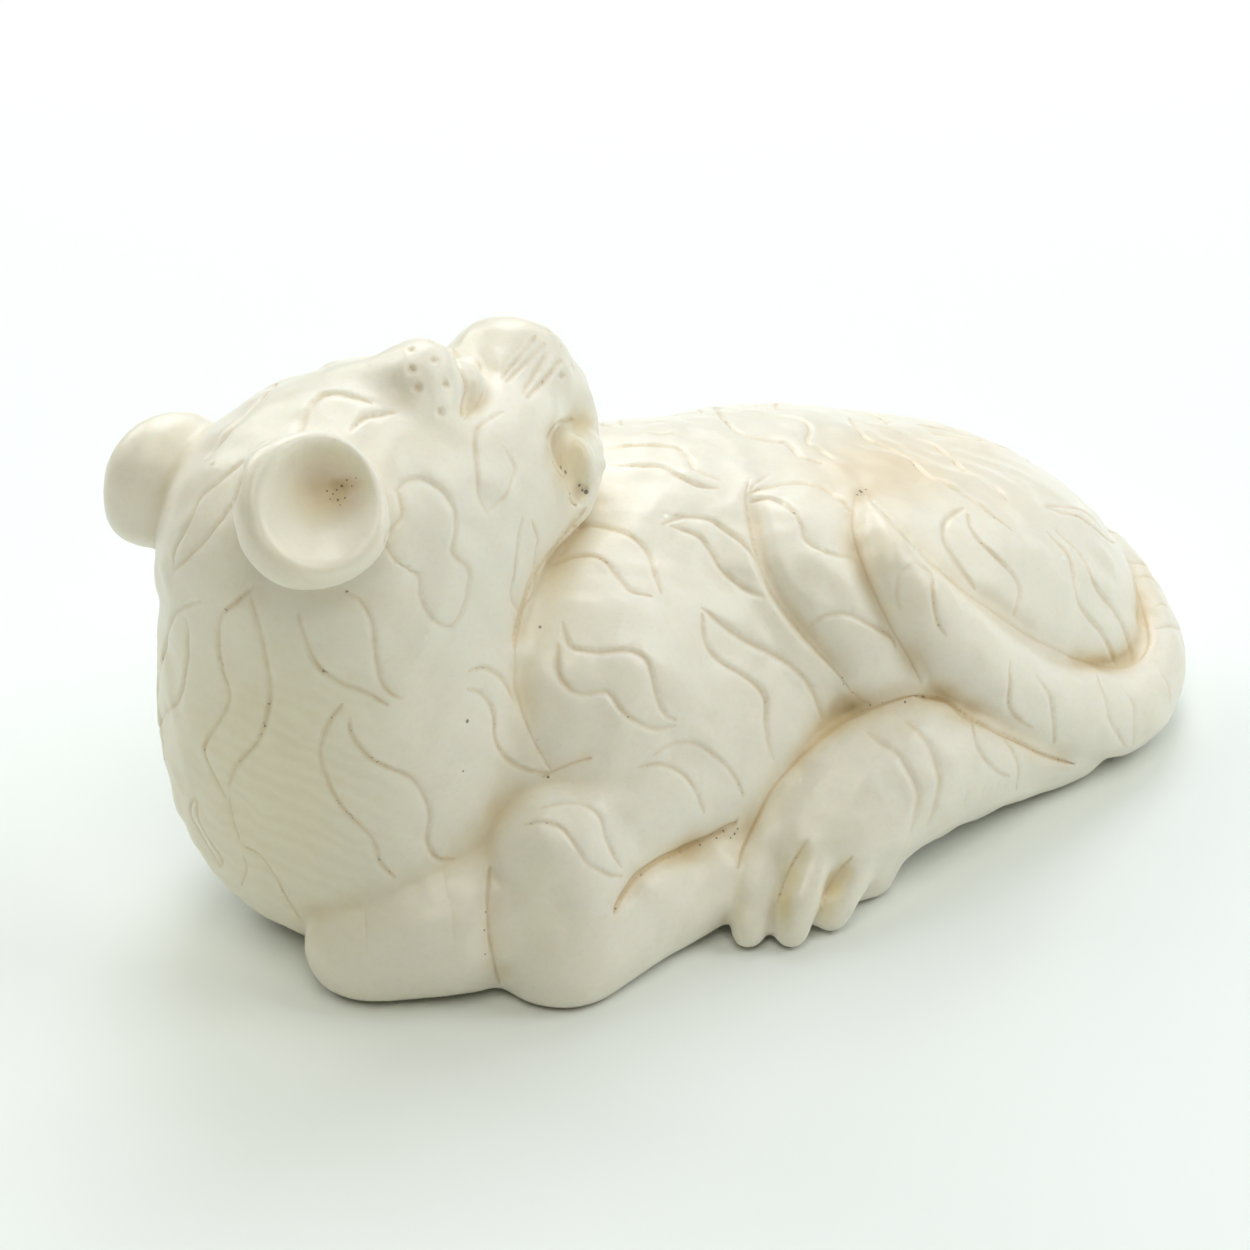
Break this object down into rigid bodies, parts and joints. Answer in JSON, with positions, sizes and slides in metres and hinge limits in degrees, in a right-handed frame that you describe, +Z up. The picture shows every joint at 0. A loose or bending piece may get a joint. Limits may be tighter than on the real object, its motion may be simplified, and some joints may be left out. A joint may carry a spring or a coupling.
{
  "type": "okimono",
  "caption": "Small carved okimono of a reclining tiger that looks back over its shoulder, with its tail wrapped round the rump; rests on a flat underside.",
  "frame": {"origin": "middle of the figure's footprint, on the plane that it rests on", "axes": "+X from the chest towards the rump, which is also where the turned head looks; -Y is the near flank with the folded foreleg and the hind foot; +Z up"},
  "size_m": [0.0508, 0.028, 0.0274],
  "materials": {
    "polished_ivory": "satin polish, warm cream, darker in the cut lines"
  },
  "bodies": {
    "root": {"reclining_tiger": "polished_ivory"}
  },
  "joints": []
}
